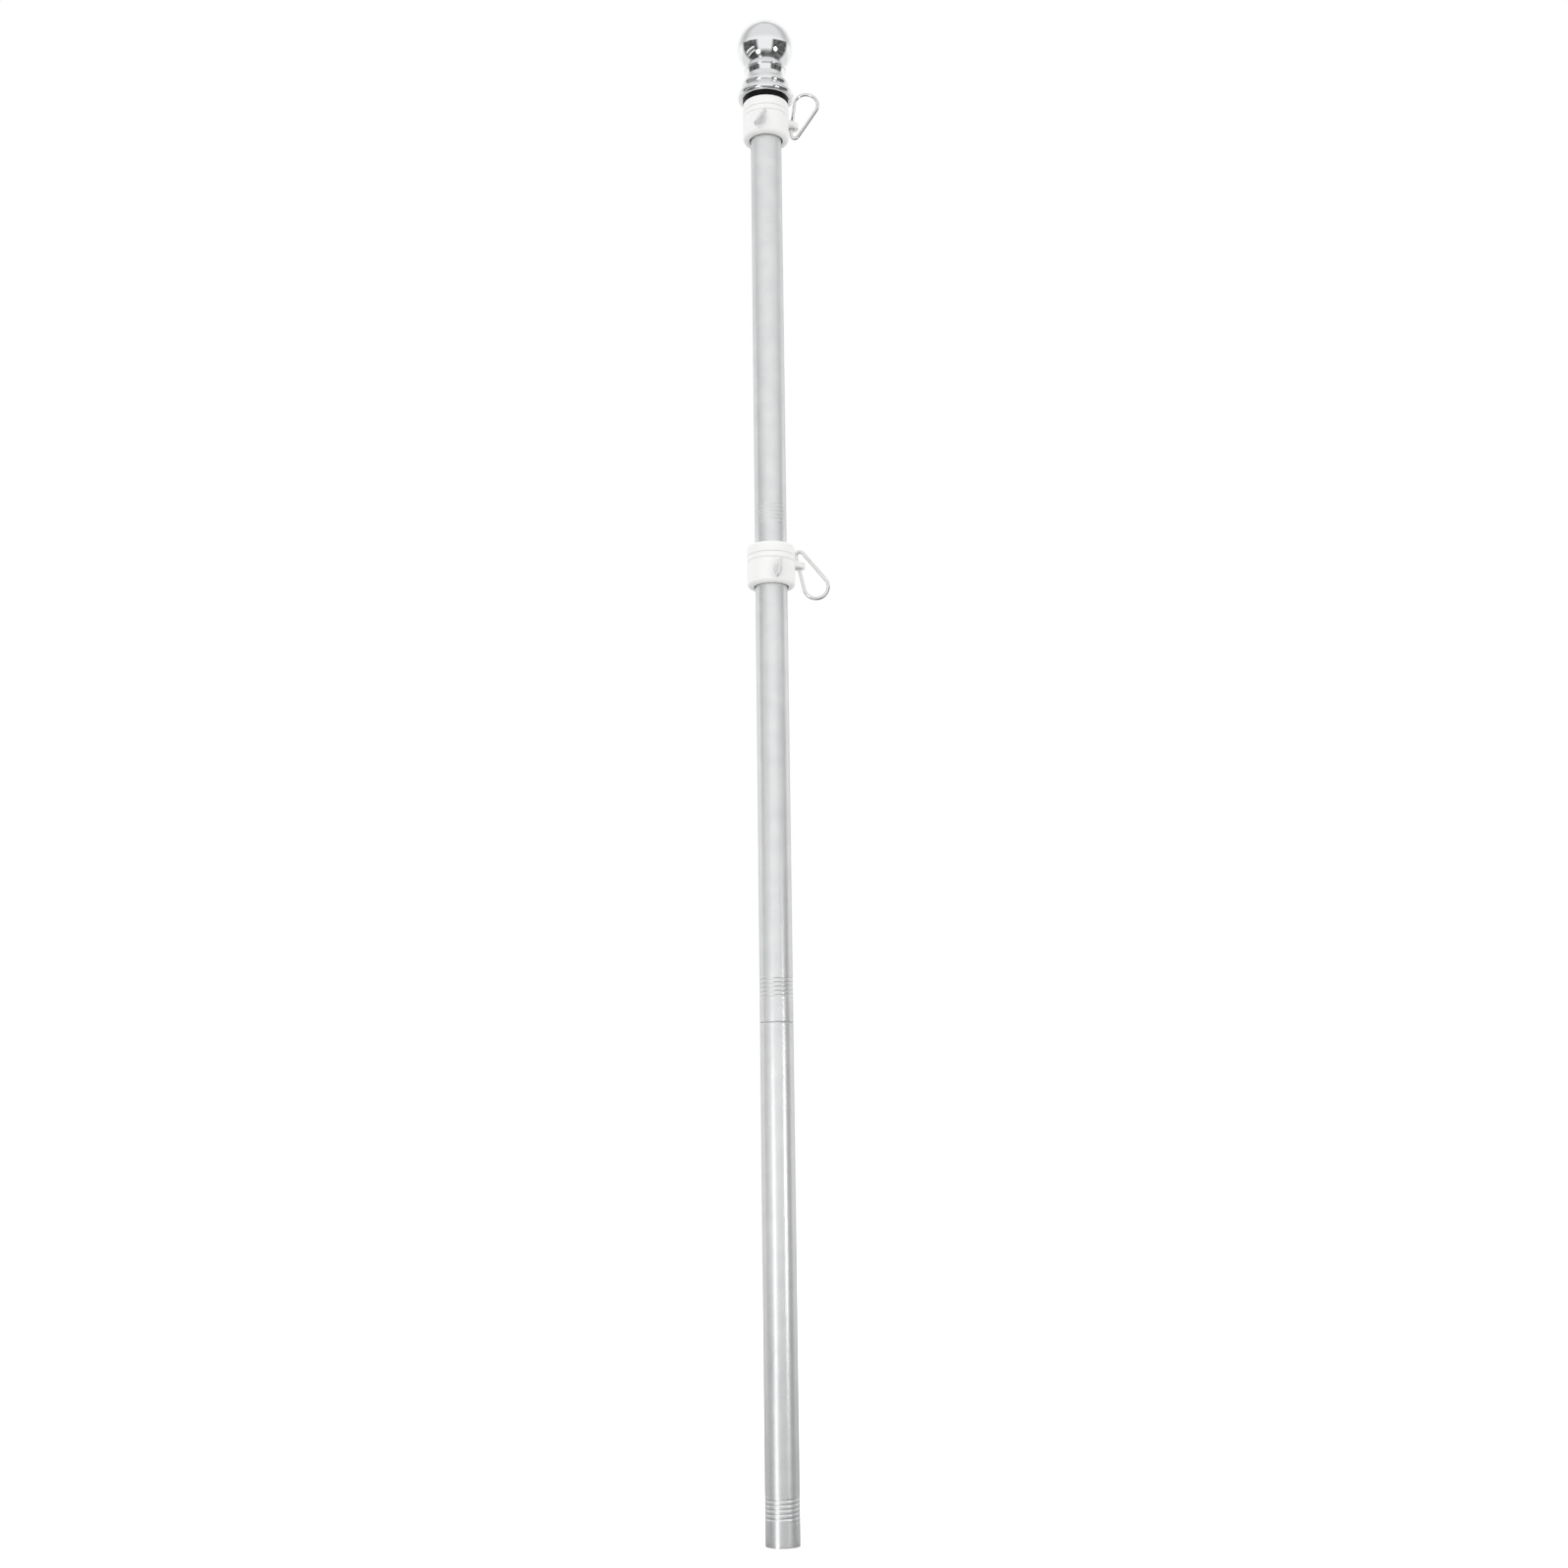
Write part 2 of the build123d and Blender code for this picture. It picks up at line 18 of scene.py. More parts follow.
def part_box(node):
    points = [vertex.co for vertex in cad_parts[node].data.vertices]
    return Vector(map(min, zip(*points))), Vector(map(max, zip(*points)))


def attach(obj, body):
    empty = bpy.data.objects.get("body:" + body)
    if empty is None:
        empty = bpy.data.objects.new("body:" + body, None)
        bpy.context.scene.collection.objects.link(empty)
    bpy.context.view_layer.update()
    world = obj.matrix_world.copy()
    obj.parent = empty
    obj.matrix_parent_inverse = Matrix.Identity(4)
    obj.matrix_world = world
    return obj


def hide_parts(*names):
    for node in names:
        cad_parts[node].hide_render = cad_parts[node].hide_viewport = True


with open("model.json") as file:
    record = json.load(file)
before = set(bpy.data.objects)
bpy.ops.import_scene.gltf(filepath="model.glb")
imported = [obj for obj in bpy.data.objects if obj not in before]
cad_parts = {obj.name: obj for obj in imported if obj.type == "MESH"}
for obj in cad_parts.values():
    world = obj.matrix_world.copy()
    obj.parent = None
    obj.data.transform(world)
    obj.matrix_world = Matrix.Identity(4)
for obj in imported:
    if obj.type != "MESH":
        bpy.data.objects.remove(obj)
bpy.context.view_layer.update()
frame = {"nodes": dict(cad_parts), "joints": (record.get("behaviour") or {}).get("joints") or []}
NODES = frame["nodes"]
MM = 0.001


# %% [markdown]
# ## Helpers for nodes and objects
# Colours are written as the hex codes that a paint or colour picker shows. Blender's shaders calculate in
# linear light, so one function converts them. Another adds a node of any kind with its settings and its
# inputs, each of which is a plain value, or the node or output that feeds it. It serves shaders and Geometry
# Nodes alike. The last makes an object from points in millimetres.

# %% Helpers
def colour(code):
    """Linear RGBA of an sRGB hex code."""
    channels = [int(code[i:i + 2], 16) / 255 for i in (0, 2, 4)]
    linear = [c / 12.92 if c <= 0.04045 else ((c + 0.055) / 1.055) ** 2.4 for c in channels]
    return (*linear, 1.0)


def add(tree, kind, settings=None, inputs=None):
    """Adds a node, sets its settings, and feeds inputs, given by name in a dict or by order in a list."""
    node = tree.nodes.new(kind)
    for name, value in (settings or {}).items():
        setattr(node, name, value)
    pairs = enumerate(inputs) if isinstance(inputs, list) else (inputs or {}).items()
    for name, value in pairs:
        if isinstance(value, bpy.types.Node):
            value = value.outputs[0]
        if isinstance(value, bpy.types.NodeSocket):
            tree.links.new(value, node.inputs[name])
        else:
            node.inputs[name].default_value = value
    return node


def new_object(name, vertices, faces, material, smooth=True):
    """An object at the origin from vertices in millimetres."""
    mesh = bpy.data.meshes.new(name)
    mesh.from_pydata([Vector(v) * MM for v in vertices], [], faces)
    mesh.materials.append(material)
    mesh.polygons.foreach_set("use_smooth", [smooth] * len(mesh.polygons))
    made = bpy.data.objects.new(name, mesh)
    bpy.context.scene.collection.objects.link(made)
    return made


print("mid grey 808080 in linear light:", round(colour("808080")[0], 3))

# %% [markdown]
# ## Camera
# The pole is seen from a low tripod about a metre and a half in front, tipped up so that the whole length
# fits, and turned a little about its own axis. A perspective camera with a long lens gives the slight taper
# towards the top that the eye expects of a tall thin thing.

# %% Camera
CAMERA_DISTANCE = 1571.7 * MM       # from the pole's axis, along -Y
CAMERA_HEIGHT = 244.0 * MM          # above the pole's foot
CAMERA_PITCH = radians(11.5)        # tipped up
CAMERA_YAW = radians(-0.29)         # turned to the right, so the pole stands left of the middle
CAMERA_ROLL = radians(-0.75)
CAMERA_LENS = 47.25                 # mm, on a 36 mm wide sensor

camera_data = bpy.data.cameras.new("camera")
camera_data.lens = CAMERA_LENS
camera_data.sensor_width = 36.0
camera = bpy.data.objects.new("camera", camera_data)
bpy.context.scene.collection.objects.link(camera)
turn = Matrix.Rotation(CAMERA_YAW, 4, "Z") @ Matrix.Rotation(pi / 2 + CAMERA_PITCH, 4, "X")
turn = turn @ Matrix.Rotation(CAMERA_ROLL, 4, "Z")
camera.matrix_world = Matrix.Translation((0, -CAMERA_DISTANCE, CAMERA_HEIGHT)) @ turn
bpy.context.scene.camera = camera
bpy.context.scene.view_settings.view_transform = "Standard"
print("camera looks up by", round(degrees(CAMERA_PITCH), 1), "degrees")

# %% [markdown]
# # Studio
# Bright metal has no colour of its own: it shows the room. The room here is a white sweep behind and above
# the pole, and the unlit end of the studio behind the camera, with a paler strip in its middle. What the camera
# sees is the world and a floor. Mirrors see a shell round the pole with the unlit end drawn in it. It shades
# the chrome and the satin tube, but throws no shadow on them.

# %% World
FILL = 0.96                         # light from all round, as a share of white


def seen_directly(tree):
    """1 for rays from the camera and for those that a mirror or glass sends on, 0 for scattered light."""
    path = add(tree, "ShaderNodeLightPath")
    seen = add(tree, "ShaderNodeMath", {"operation": "MAXIMUM"},
               [path.outputs["Is Camera Ray"], path.outputs["Is Glossy Ray"]])
    return add(tree, "ShaderNodeMath", {"operation": "MAXIMUM"}, [seen, path.outputs["Is Transmission Ray"]])


world = bpy.data.worlds.new("studio")
bpy.context.scene.world = world
world.use_nodes = True
world.node_tree.nodes.clear()
fill = add(world.node_tree, "ShaderNodeBackground", None, {"Color": colour("FFFFFF"), "Strength": FILL})
white = add(world.node_tree, "ShaderNodeBackground", None, {"Color": colour("FFFFFF"), "Strength": 1.0})
mixed = add(world.node_tree, "ShaderNodeMixShader", None, [seen_directly(world.node_tree), fill, white])
add(world.node_tree, "ShaderNodeOutputWorld", None, {"Surface": mixed})
print("world fill:", FILL)

# %% [markdown]
# ## Floor
# A big matt board. It scatters only part of the light, so that it doesn't brighten the foot of the pole from
# below, and it glows by the missing part for the camera and for mirrors alone. It therefore reads as white
# where nothing shades it, and the pole's soft shadow still shows.

# %% Floor
FLOOR_SIZE = 14.0
FLOOR_PAINT = "D6D6D6"
FLOOR_LIFT = 0.50                   # glow for the camera and mirrors


def floor_finish():
    """Matt grey board with a white glow that only the camera and mirrors see."""
    material = bpy.data.materials.new("matt_studio_board")
    material.use_nodes = True
    tree = material.node_tree
    tree.nodes.clear()
    lift = add(tree, "ShaderNodeMath", {"operation": "MULTIPLY"}, [seen_directly(tree), FLOOR_LIFT])
    glow = add(tree, "ShaderNodeEmission", None, {"Color": colour("FFFFFF"), "Strength": lift})
    paint = add(tree, "ShaderNodeBsdfDiffuse", None, {"Color": colour(FLOOR_PAINT)})
    both = add(tree, "ShaderNodeAddShader", None, [glow, paint])
    add(tree, "ShaderNodeOutputMaterial", None, {"Surface": both})
    return material


half = FLOOR_SIZE / 2 / MM
corners = [(-half, -half, 0), (half, -half, 0), (half, half, 0), (-half, half, 0)]
floor = new_object("studio_floor", corners, [(0, 1, 2, 3)], floor_finish(), smooth=False)
print("floor is", FLOOR_SIZE, "m wide")

# %% [markdown]
# ## The unlit end of the room
# A dark card beside polished metal draws an edge on it, and an unlit room does the same all round. Here it is
# one turned shell that only mirrors see: floor, wall and ceiling. Its brightness follows a rule of the angle
# round the pole, the distance and the height, which a short function works out for each corner of the mesh and
# keeps as an attribute. A painted picture of a room would do the same, but a rule needs no picture.

# %% Brightness of the room that mirrors see
ROOM_NEAR = 0.0115                  # m from the pole's axis, just inside its foot
ROOM_FAR = 8.0                      # m
WALL_TOP = 6.0                      # m
CEILING_RISE = 3.0                  # m, of the ceiling's middle above the wall's top
FRONT_EDGE = (radians(88), radians(106))        # front of the room inside the first, back outside the second
DARK = 0.09                         # unlit end, as a share of white
PALE_WALL = (0.97, 0.78)            # above the unlit end: just over its edge, and at the wall's top
TOP_IN_FRONT = (2.1, 2.9)           # m, height on the wall where the dark part ends
TOP_AT_SIDES = 7.0                  # m, how much higher that edge would lie at the very back
STRIP_EDGE = (radians(24), radians(38))         # paler strip in the middle of the unlit end
STRIP_LEVEL = 0.93
STRIP_START = (1.0, 2.5)            # m along the floor: dark before the first, pale after the second
STRIP_FOOT = 0.20                   # level of the strip close to the pole
STRIP_FOOT_END = (0.4, 0.9)         # m along the floor
NEAR_FLOOR = 0.38                   # level of the floor beside and behind the pole
NEAR_FLOOR_END = (0.4, 2.4)         # m along the floor
BACK_FOOT = 0.80                    # level at the foot of the back wall
BACK_RISE = 2.6                     # m, height at which the back wall is white
CORNER_SHADE = 0.35                 # how much darker the room is where wall and ceiling meet at the sides
CORNER_ANGLE = radians(98)
CORNER_WIDTH = radians(45)
CORNER_START = (3.2, 5.2)           # m, height from which that shade begins, and where it is full
GLARE = 2.2                         # the left lamp's glare on the floor by the pole's foot
GLARE_ANGLE = radians(-36)
GLARE_WIDTH = radians(17)
GLARE_END = (0.4, 1.2)              # m along the floor
POLE_R = 0.0127                     # m


def soft_step(value, start, end):
    """0 at the start, 1 at the end, with a smooth rise between."""
    share = min(max((value - start) / (end - start), 0.0), 1.0)
    return share * share * (3 - 2 * share)


def room_level(angle, reach, height):
    """How bright the room is at an angle round the pole, a distance and a height, as a share of white."""
    strip = 1 - soft_step(abs(angle), *STRIP_EDGE)
    unlit = DARK + (STRIP_LEVEL - DARK) * strip * soft_step(reach, *STRIP_START)
    unlit += (STRIP_FOOT - DARK) * strip * (1 - soft_step(reach, *STRIP_FOOT_END))
    edge_rise = TOP_AT_SIDES * (angle / pi) ** 2
    climb = min(max(height - TOP_IN_FRONT[1], 0.0) / (WALL_TOP - TOP_IN_FRONT[1]), 1.0)
    pale = PALE_WALL[0] + (PALE_WALL[1] - PALE_WALL[0]) * climb
    front = unlit + (pale - unlit) * soft_step(height - edge_rise, *TOP_IN_FRONT)
    back = NEAR_FLOOR + (BACK_FOOT - NEAR_FLOOR) * soft_step(reach, *NEAR_FLOOR_END)
    back += (1 - BACK_FOOT) * soft_step(height, 0, BACK_RISE)
    side = soft_step(abs(angle), *FRONT_EDGE)
    parted = 1 - 0.5 * POLE_R / max(reach, POLE_R)      # mirrored rays have hardly parted close to the pole
    glare = 1 - soft_step(abs(angle / parted - GLARE_ANGLE), 0, GLARE_WIDTH)
    glare *= 1 - soft_step(reach, *GLARE_END)
    corner = (1 - soft_step(abs(abs(angle) - CORNER_ANGLE), 0, CORNER_WIDTH)) * soft_step(height, *CORNER_START)
    return (front + (back - front) * side) * (1 - CORNER_SHADE * corner) + GLARE * glare


print("ahead at 8 m:", round(room_level(0, ROOM_FAR, 1.0), 2))
print("to the side:", round(room_level(radians(70), ROOM_FAR, 1.0), 2))

# %% Shell of the room
ROOM_COLUMNS = 240
FLOOR_ROWS, WALL_ROWS, CEILING_ROWS = 32, 30, 12
SHELL_LIFT = 0.0003                 # m above the studio's floor
FOLD_SCALE = 0.8                    # folds for each metre of the unlit cloth
FOLD_NOISE = (0.38, 0.68)           # values of the noise that are the darkest and the palest folds
FOLD_RANGE = (0.5, 2.2)             # brightness of those folds as a share of the cloth's
FOLDS_GONE = (0.1, 0.4)             # levels between which the folds fade out


def room_finish():
    """Cloth and board that glow by the level kept at each corner, with faint folds in the dark part."""
    material = bpy.data.materials.new("studio_cloth_and_board")
    material.use_nodes = True
    tree = material.node_tree
    tree.nodes.clear()
    level = add(tree, "ShaderNodeAttribute", {"attribute_name": "level"})
    place = add(tree, "ShaderNodeTexCoord")
    folds = add(tree, "ShaderNodeTexNoise", None,
                {"Vector": place.outputs["Object"], "Scale": FOLD_SCALE, "Detail": 3.0})
    folds = add(tree, "ShaderNodeMapRange", None, {
        "Value": folds, "From Min": FOLD_NOISE[0], "From Max": FOLD_NOISE[1],
        "To Min": FOLD_RANGE[0], "To Max": FOLD_RANGE[1]})
    shaded = add(tree, "ShaderNodeMath", {"operation": "MULTIPLY"}, [folds, level.outputs["Fac"]])
    lit = add(tree, "ShaderNodeMapRange", None, {
        "Value": level.outputs["Fac"], "From Min": FOLDS_GONE[0], "From Max": FOLDS_GONE[1]})
    strength = add(tree, "ShaderNodeMix", {"data_type": "FLOAT"},
                   {0: lit, 2: shaded, 3: level.outputs["Fac"]})
    glow = add(tree, "ShaderNodeEmission", None, {"Color": colour("FFFFFF"), "Strength": strength})
    add(tree, "ShaderNodeOutputMaterial", None, {"Surface": glow})
    return material


section = [(ROOM_NEAR * (ROOM_FAR / ROOM_NEAR) ** (i / FLOOR_ROWS), SHELL_LIFT) for i in range(FLOOR_ROWS + 1)]
section += [(ROOM_FAR, WALL_TOP * i / WALL_ROWS) for i in range(1, WALL_ROWS + 1)]
for i in range(1, CEILING_ROWS + 1):
    bend = pi / 2 * i / CEILING_ROWS
    section.append((ROOM_FAR * cos(bend), WALL_TOP + CEILING_RISE * sin(bend)))
points, levels = [], []
for column in range(ROOM_COLUMNS + 1):
    angle = pi * (2 * column / ROOM_COLUMNS - 1)
    for reach, height in section:
        points.append((reach * sin(angle) / MM, -reach * cos(angle) / MM, height / MM))
        zenith = reach < ROOM_NEAR
        levels.append(room_level(sum(FRONT_EDGE) / 2 if zenith else angle, reach, height))
faces = []
for column in range(ROOM_COLUMNS):
    for row in range(len(section) - 1):
        first = column * len(section) + row
        faces.append((first, first + 1, first + len(section) + 1, first + len(section)))
ROOM_FINISH = room_finish()


def for_mirrors(name, points, faces, levels):
    """A glowing sheet that only mirrors see, with a level for each of its points."""
    sheet = new_object(name, points, faces, ROOM_FINISH)
    sheet.data.attributes.new("level", "FLOAT", "POINT").data.foreach_set("value", levels)
    sheet.visible_camera = False
    sheet.visible_diffuse = False
    sheet.visible_shadow = False
    sheet.visible_transmission = False


for_mirrors("mirrored_room", points, faces, levels)
print("the room has", len(faces), "faces, levels", round(min(levels), 2), "to", round(max(levels), 2))

# %% [markdown]
# ## Reflector boards
# Curved boards at the sides lift the dark parts of the tube beside the lamps' stripes. The low one stands far
# out on the left, and its bright rims draw two thin arcs in the ball. The others stand close to the pole, where
# the tube mirrors them and the ball above hardly does.

# %% Reflector boards
BOARDS = [      # name, m from the pole's axis, degrees round it, (height, level) of each row
    ("low_board", 2.2, (-90, -46),
     [(0.01, 1.1), (0.15, 1.1), (0.16, 0.30), (0.60, 0.30), (0.61, 1.1), (0.78, 1.1)]),
    ("left_board", 0.3, (-76, -38), [(0.11, 0.30), (0.20, 0.60), (0.76, 0.60)]),
    ("right_board", 0.3, (36, 84), [(0.50, 0.20), (0.58, 0.42), (0.76, 0.42)]),
]
BOARD_COLUMNS = 24

for name, reach, sweep, rows in BOARDS:
    points, levels, faces = [], [], []
    for column in range(BOARD_COLUMNS + 1):
        angle = radians(sweep[0] + (sweep[1] - sweep[0]) * column / BOARD_COLUMNS)
        for height, level in rows:
            points.append((reach * sin(angle) / MM, -reach * cos(angle) / MM, height / MM))
            levels.append(level)
    for column in range(BOARD_COLUMNS):
        for row in range(len(rows) - 1):
            first = column * len(rows) + row
            faces.append((first, first + 1, first + len(rows) + 1, first + len(rows)))
    for_mirrors(name, points, faces, levels)
    print(name, "stands", reach, "m from the pole")

# %% [markdown]
# ## Lamps
# Two round lamps stand low on either side of the camera. They draw the two pale stripes down the tube and the
# two white spots in the ball. A wide soft lamp overhead models the white plastic.

# %% Lamps
def round_lamp(name, place, radius, level, target):
    """A disc lamp whose surface is level times as bright as white, turned to a target."""
    data = bpy.data.lights.new(name, "AREA")
    data.shape = "DISK"
    data.size = 2 * radius
    data.energy = level * pi * pi * radius ** 2
    lamp = bpy.data.objects.new(name, data)
    bpy.context.scene.collection.objects.link(lamp)
    lamp.location = place
    lamp.rotation_euler = (Vector(target) - Vector(place)).to_track_quat("-Z", "Y").to_euler()
    return lamp


LAMPS = {       # place in m, radius, level, target
    "left_lamp": ((-0.73, -1.04, 0.22), 0.26, 2.4, (0, 0, 0.5)),
    "right_lamp": ((1.64, -1.46, 0.28), 0.32, 4.8, (0, 0, 0.5)),
    "overhead_lamp": ((-0.9, -1.0, 2.3), 0.60, 1.3, (0, 0, 0.8)),
}
lamps = {name: round_lamp(name, *values) for name, values in LAMPS.items()}
lamps["overhead_lamp"].visible_glossy = False
print("lamps:", list(lamps))

# %% [markdown]
# # Finishes
# Each finish starts from the real material and from how its surface was made. Patterns are scaled in
# millimetres on the object, so that a grain or a scratch has its true size.

# %% A plain start for every finish
def finish(name, hex_code, metallic, roughness):
    """A Principled material with plain values on its own sockets, and its tree, shader and Object place."""
    material = bpy.data.materials.new(name)
    material.use_nodes = True
    tree = material.node_tree
    shader = tree.nodes["Principled BSDF"]
    shader.inputs["Base Color"].default_value = colour(hex_code)
    shader.inputs["Metallic"].default_value = metallic
    shader.inputs["Roughness"].default_value = roughness
    place = add(tree, "ShaderNodeTexCoord").outputs["Object"]
    return material, tree, shader, place


FINISHES = {}
NOISE_SPAN = {"From Min": 0.3, "From Max": 0.7}         # where nearly all values of a noise lie
slots = {slot.material.name for node in NODES.values() for slot in node.material_slots}
print("slots to finish:", sorted(slots))


# %% [markdown]
# ## Satin silver tube
# Drawn aluminium under a thin silver lacquer. Drawing leaves faint streaks along the tube, which the lacquer
# softens. Each flake in the lacquer lies a little differently, so some spots are nearly matt and others mirror:
# a wide range of roughness over a grain of flake size gives a pale tone from all sides that still shows the
# lamps as stripes. Three quarters metal and one quarter paint stand for flakes in a clear binder. A few specks
# of dust sit under the lacquer.

# %% Satin silver tube
STREAK = (0.35, 0.35, 70.0)         # mm, width and length of a drawing streak
FLAKE = 0.16                        # mm
CLOUD = 14.0                        # mm, patches of slightly thicker lacquer
SPECK_SPACING = 9.0                 # mm
SPECK_SHARE = (0.02, 0.05)          # a speck's size as a share of the spacing: full inside, gone outside
STREAK_DEPTH = 0.002                # mm
SPECK_HEIGHT = 0.03                 # mm
FLAKE_ROUGHNESS = (0.20, 0.56)


def satin_tube():
    material, tree, shader, place = finish("silver_lacquer_on_drawn_aluminium", "EAEBEC", 0.75, 0.30)
    along = add(tree, "ShaderNodeMapping", None, {"Vector": place, "Scale": [1 / (s * MM) for s in STREAK]})
    streaks = add(tree, "ShaderNodeTexNoise", None, {"Vector": along, "Scale": 1.0, "Detail": 3.0})
    flakes = add(tree, "ShaderNodeTexNoise", None, {"Vector": place, "Scale": 1 / (FLAKE * MM), "Detail": 1.0})
    clouds = add(tree, "ShaderNodeTexNoise", None,
                 {"Vector": place, "Scale": 1 / (CLOUD * MM), "Detail": 2.0})
    cells = add(tree, "ShaderNodeTexVoronoi", None, {"Vector": place, "Scale": 1 / (SPECK_SPACING * MM)})
    specks = add(tree, "ShaderNodeMapRange", None, {
        "Value": cells.outputs["Distance"], "From Min": SPECK_SHARE[0], "From Max": SPECK_SHARE[1],
        "To Min": 1.0, "To Max": 0.0})
    shade = add(tree, "ShaderNodeMapRange", None, {"Value": clouds, **NOISE_SPAN})
    tone = add(tree, "ShaderNodeMix", {"data_type": "RGBA"},
               {0: shade, 6: colour("E6E7E8"), 7: colour("EEEFEF")})
    dusty = add(tree, "ShaderNodeMix", {"data_type": "RGBA"},
                {0: specks, 6: tone.outputs[2], 7: colour("FAFAF8")})
    tree.links.new(dusty.outputs[2], shader.inputs["Base Color"])
    matt = add(tree, "ShaderNodeMapRange", None,
               {"Value": flakes, **NOISE_SPAN, "To Min": FLAKE_ROUGHNESS[0], "To Max": FLAKE_ROUGHNESS[1]})
    tree.links.new(matt.outputs[0], shader.inputs["Roughness"])
    shader.inputs["Specular Tint"].default_value = colour("C8C8C8")
    drawn = add(tree, "ShaderNodeBump", None, {"Height": streaks, "Distance": STREAK_DEPTH * MM})
    dust = add(tree, "ShaderNodeBump", None,
               {"Height": specks, "Distance": SPECK_HEIGHT * MM, "Normal": drawn})
    tree.links.new(dust.outputs[0], shader.inputs["Normal"])
    return material


FINISHES["satin_tube"] = satin_tube()
print("streaks", STREAK[0], "mm wide")


# %% [markdown]
# ## White plastic
# The rings are moulded in a white plastic such as ABS, in a mould with a fine spark-eroded texture. It
# scatters nearly all light and keeps a soft shine at its rounded edges. Thick plastic sinks a little as it
# cools, so its flat faces are never quite true: a slow wave in the surface shows that in the shine.

# %% White plastic
MOULD_GRAIN = 0.35                  # mm
MOULD_GRAIN_DEPTH = 0.008           # mm
MOULD_ROUGHNESS = (0.30, 0.40)
SINK_WAVE = 11.0                    # mm
SINK_DEPTH = 0.08                   # mm


def white_plastic():
    material, tree, shader, place = finish("white_moulded_abs", "F6F6F5", 0.0, 0.34)
    grain = add(tree, "ShaderNodeTexNoise", None, {"Vector": place, "Scale": 1 / (MOULD_GRAIN * MM)})
    waves = add(tree, "ShaderNodeTexNoise", None,
                {"Vector": place, "Scale": 1 / (SINK_WAVE * MM), "Detail": 1.0})
    matt = add(tree, "ShaderNodeMapRange", None,
               {"Value": grain, **NOISE_SPAN, "To Min": MOULD_ROUGHNESS[0], "To Max": MOULD_ROUGHNESS[1]})
    tree.links.new(matt.outputs[0], shader.inputs["Roughness"])
    fine = add(tree, "ShaderNodeBump", None, {"Height": grain, "Distance": MOULD_GRAIN_DEPTH * MM})
    sunk = add(tree, "ShaderNodeBump", None,
               {"Height": waves, "Distance": SINK_DEPTH * MM, "Normal": fine})
    tree.links.new(sunk.outputs[0], shader.inputs["Normal"])
    return material


FINISHES["white_plastic"] = white_plastic()
print("mould grain", MOULD_GRAIN, "mm")


# %% [markdown]
# ## Black plastic
# The finial's socket is moulded in black nylon with a slight sheen. Only its flange shows, as the dark band
# between the upper ring and the chrome.

# %% Black plastic
NYLON_GRAIN_DEPTH = 0.015           # mm
NYLON_ROUGHNESS = (0.40, 0.55)


def black_plastic():
    material, tree, shader, place = finish("black_moulded_nylon", "070708", 0.0, 0.42)
    grain = add(tree, "ShaderNodeTexNoise", None, {"Vector": place, "Scale": 1 / (MOULD_GRAIN * MM)})
    matt = add(tree, "ShaderNodeMapRange", None,
               {"Value": grain, **NOISE_SPAN, "To Min": NYLON_ROUGHNESS[0], "To Max": NYLON_ROUGHNESS[1]})
    tree.links.new(matt.outputs[0], shader.inputs["Roughness"])
    fine = add(tree, "ShaderNodeBump", None, {"Height": grain, "Distance": NYLON_GRAIN_DEPTH * MM})
    tree.links.new(fine.outputs[0], shader.inputs["Normal"])
    shader.inputs["Specular IOR Level"].default_value = 0.2
    return material


FINISHES["black_plastic"] = black_plastic()
print("nylon's roughness from", NYLON_ROUGHNESS[0], "to", NYLON_ROUGHNESS[1])


# %% [markdown]
# ## Bright chrome
# The finial is turned, polished, then plated with nickel and chrome. Chrome is a near perfect mirror, a little
# cool in tone. A trace of waviness from polishing and thin smudges keep it from looking like a computed ball.

# %% Bright chrome
SMUDGE = 8.0                        # mm
SMUDGE_NOISE = (0.45, 0.75)         # values of the noise that are clean plate and full smudge
SMUDGE_ROUGHNESS = (0.02, 0.06)
POLISH_WAVE = 6.0                   # mm
POLISH_DEPTH = 0.03                 # mm


def bright_plating():
    material, tree, shader, place = finish("polished_chrome_plate", "F4F5F6", 1.0, 0.03)
    smudges = add(tree, "ShaderNodeTexNoise", None,
                  {"Vector": place, "Scale": 1 / (SMUDGE * MM), "Detail": 5.0, "Roughness": 0.6})
    matt = add(tree, "ShaderNodeMapRange", None, {
        "Value": smudges, "From Min": SMUDGE_NOISE[0], "From Max": SMUDGE_NOISE[1],
        "To Min": SMUDGE_ROUGHNESS[0], "To Max": SMUDGE_ROUGHNESS[1]})
    tree.links.new(matt.outputs[0], shader.inputs["Roughness"])
    waves = add(tree, "ShaderNodeTexNoise", None,
                {"Vector": place, "Scale": 1 / (POLISH_WAVE * MM), "Detail": 1.0})
    polish = add(tree, "ShaderNodeBump", None, {"Height": waves, "Distance": POLISH_DEPTH * MM})
    tree.links.new(polish.outputs[0], shader.inputs["Normal"])
    return material


FINISHES["bright_plating"] = bright_plating()
print("polishing waves", POLISH_WAVE, "mm")


# %% [markdown]
# ## Plated wire and plated screws
# The clips are spring steel wire, bent cold and then barrel plated with nickel, where they rub on each other:
# the shine stays but the mirror is a little scuffed. The screws are stamped steel with a zinc plate, whose pale
# passivated film scatters part of the light. They differ in how metallic and how rough they are.

# %% Wire and screws
WIRE_SCUFF, WIRE_SCUFF_DEPTH = 0.8, 0.012       # mm
WIRE_ROUGHNESS = (0.09, 0.22)
ZINC_SPANGLE, ZINC_SPANGLE_DEPTH = 0.6, 0.02    # mm
ZINC_ROUGHNESS = (0.38, 0.55)


